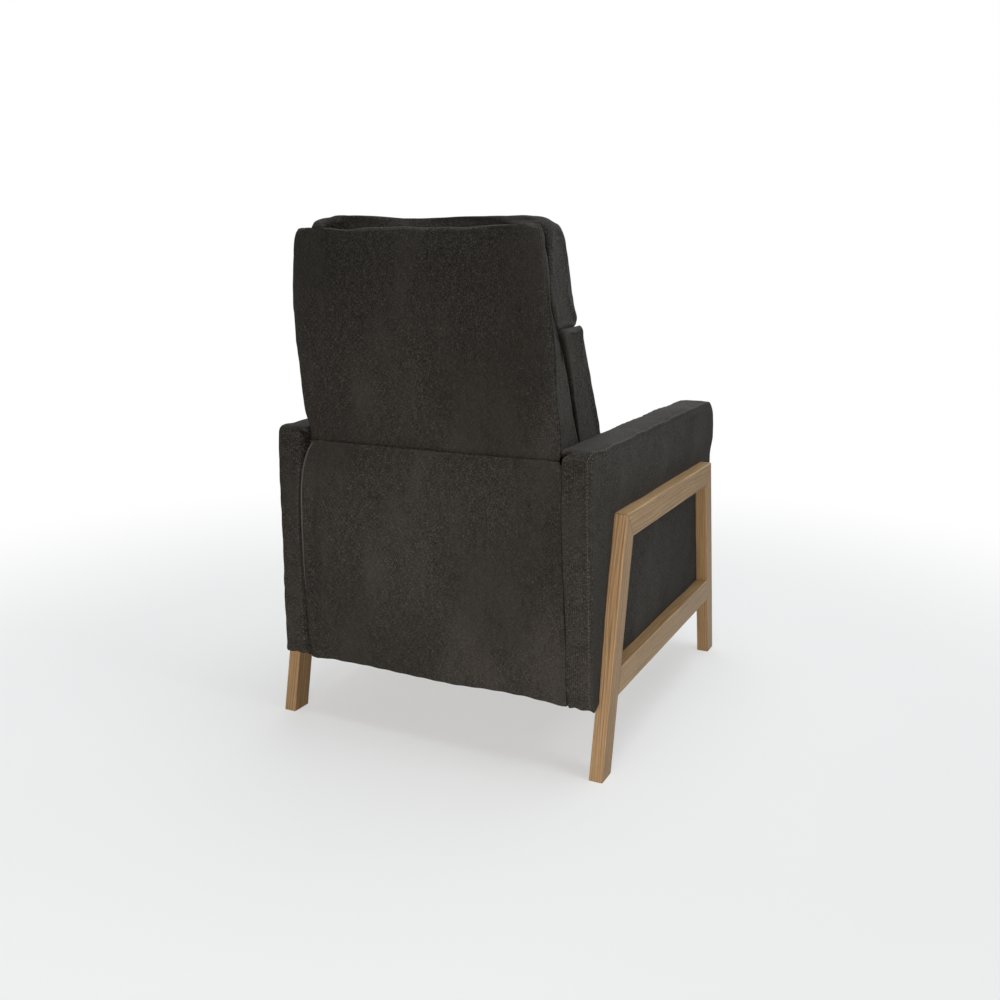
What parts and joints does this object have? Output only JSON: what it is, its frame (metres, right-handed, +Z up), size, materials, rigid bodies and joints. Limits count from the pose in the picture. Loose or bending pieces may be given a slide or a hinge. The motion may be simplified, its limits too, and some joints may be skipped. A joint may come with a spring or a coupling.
{
  "type": "push-back recliner",
  "caption": "Push-back recliner with an upholstered seat, back and fold-out footrest between open trapezoid wood side frames.",
  "frame": {"origin": "on the floor, under the middle of the chair's width and depth", "axes": "+Z up, the chair faces -Y, and +X is the sitter's left"},
  "size_m": [0.72, 0.8405, 1.0057],
  "materials": {
    "oak": "clear satin lacquer on light oak",
    "frame_wood": "planed softwood and plywood",
    "upholstery": "dark charcoal chenille weave",
    "webbing": "woven elastic webbing",
    "mechanism_steel": "black painted steel",
    "zinc_fasteners": "zinc plated"
  },
  "bodies": {
    "base": {"rear_leg_left": "oak", "rear_leg_right": "oak", "front_leg_left": "oak", "front_leg_right": "oak", "arm_rail_left": "oak", "arm_rail_right": "oak", "lower_rail_left": "oak", "lower_rail_right": "oak", "arm_pad_left": "upholstery", "arm_pad_right": "upholstery", "arm_core_left": "frame_wood", "arm_core_right": "frame_wood", "frame_bolts_and_screws": "zinc_fasteners", "rear_panel": "upholstery", "rear_panel_board": "frame_wood", "base_rail_left": "frame_wood", "base_rail_right": "frame_wood", "front_cross_rail": "frame_wood", "rear_cross_rail": "frame_wood", "mechanism_base_plate_left": "mechanism_steel", "mechanism_base_plate_right": "mechanism_steel", "base_pivot_rivets": "zinc_fasteners"},
    "rear_swing": {"rear_swing_link_left": "mechanism_steel", "rear_swing_link_right": "mechanism_steel", "swing_torque_tube": "mechanism_steel"},
    "front_swing": {"front_swing_link_left": "mechanism_steel", "front_swing_link_right": "mechanism_steel"},
    "seat": {"seat_plate_left": "mechanism_steel", "seat_plate_right": "mechanism_steel", "seat_pivot_rivets": "zinc_fasteners", "seat_rail_front": "frame_wood", "seat_rail_rear": "frame_wood", "seat_rail_left": "frame_wood", "seat_rail_right": "frame_wood", "seat_webbing": "webbing", "seat_cushion": "upholstery", "seat_front_border": "upholstery"},
    "back": {"back_bracket_left": "mechanism_steel", "back_bracket_right": "mechanism_steel", "back_frame": "frame_wood", "back_upholstery": "upholstery", "lumbar_cushion": "upholstery", "head_pillow": "upholstery", "back_bracket_screws": "zinc_fasteners"},
    "footrest_drive": {"footrest_drive_link_left": "mechanism_steel", "footrest_drive_link_right": "mechanism_steel", "footrest_cross_tube": "mechanism_steel", "footrest_drive_rivets": "zinc_fasteners"},
    "footrest_control": {"footrest_control_link_left": "mechanism_steel", "footrest_control_link_right": "mechanism_steel"},
    "footrest_carrier": {"footrest_carrier_link_left": "mechanism_steel", "footrest_carrier_link_right": "mechanism_steel", "footrest_carrier_rivets": "zinc_fasteners"},
    "footrest_tilt": {"footrest_tilt_link_left": "mechanism_steel", "footrest_tilt_link_right": "mechanism_steel"},
    "ottoman": {"ottoman_bracket_left": "mechanism_steel", "ottoman_bracket_right": "mechanism_steel", "ottoman_board": "frame_wood", "ottoman_pad": "upholstery", "ottoman_rivets": "zinc_fasteners"}
  },
  "joints": [
    {"name": "push_back", "type": "hinge", "parent": "base", "child": "rear_swing", "pos_m": [0, 0.212, 0.215], "axis": [1, 0, 0], "range_deg": [0, 45]},
    {"name": "seat_level", "type": "hinge", "parent": "rear_swing", "child": "seat", "pos_m": [0, 0.27972, 0.30168], "axis": [1, 0, 0], "range_deg": [-45, 0]},
    {"name": "front_swing_turn", "type": "hinge", "parent": "base", "child": "front_swing", "pos_m": [0, -0.023, 0.215], "axis": [1, 0, 0], "range_deg": [0, 45]},
    {"name": "back_recline", "type": "hinge", "parent": "seat", "child": "back", "pos_m": [0, 0.322, 0.46], "axis": [-1, 0, 0], "range_deg": [0, 25]},
    {"name": "footrest_drive_turn", "type": "hinge", "parent": "seat", "child": "footrest_drive", "pos_m": [0, -0.263, 0.33], "axis": [-1, 0, 0], "range_deg": [0, 90]},
    {"name": "footrest_control_turn", "type": "hinge", "parent": "seat", "child": "footrest_control", "pos_m": [0, -0.33727, 0.34044], "axis": [-1, 0, 0], "range_deg": [0, 90]},
    {"name": "footrest_carrier_turn", "type": "hinge", "parent": "footrest_drive", "child": "footrest_carrier", "pos_m": [0, -0.17636, 0.14421], "axis": [-1, 0, 0], "range_deg": [-90, 0]},
    {"name": "footrest_tilt_turn", "type": "hinge", "parent": "footrest_drive", "child": "footrest_tilt", "pos_m": [0, -0.18234, 0.18376], "axis": [-1, 0, 0], "range_deg": [-90, 0]},
    {"name": "ottoman_turn", "type": "hinge", "parent": "footrest_carrier", "child": "ottoman", "pos_m": [0, -0.3109, 0.2435], "axis": [-1, 0, 0], "range_deg": [0, 90]}
  ],
  "couplings": [
    {"joint": "seat_level", "follows": "push_back", "ratio": -1},
    {"joint": "front_swing_turn", "follows": "push_back", "ratio": 1},
    {"joint": "back_recline", "follows": "push_back", "ratio": 0.55556},
    {"joint": "footrest_drive_turn", "follows": "push_back", "ratio": 2},
    {"joint": "footrest_control_turn", "follows": "push_back", "ratio": 2},
    {"joint": "footrest_carrier_turn", "follows": "push_back", "ratio": -2},
    {"joint": "footrest_tilt_turn", "follows": "push_back", "ratio": -2},
    {"joint": "ottoman_turn", "follows": "push_back", "ratio": 2}
  ]
}
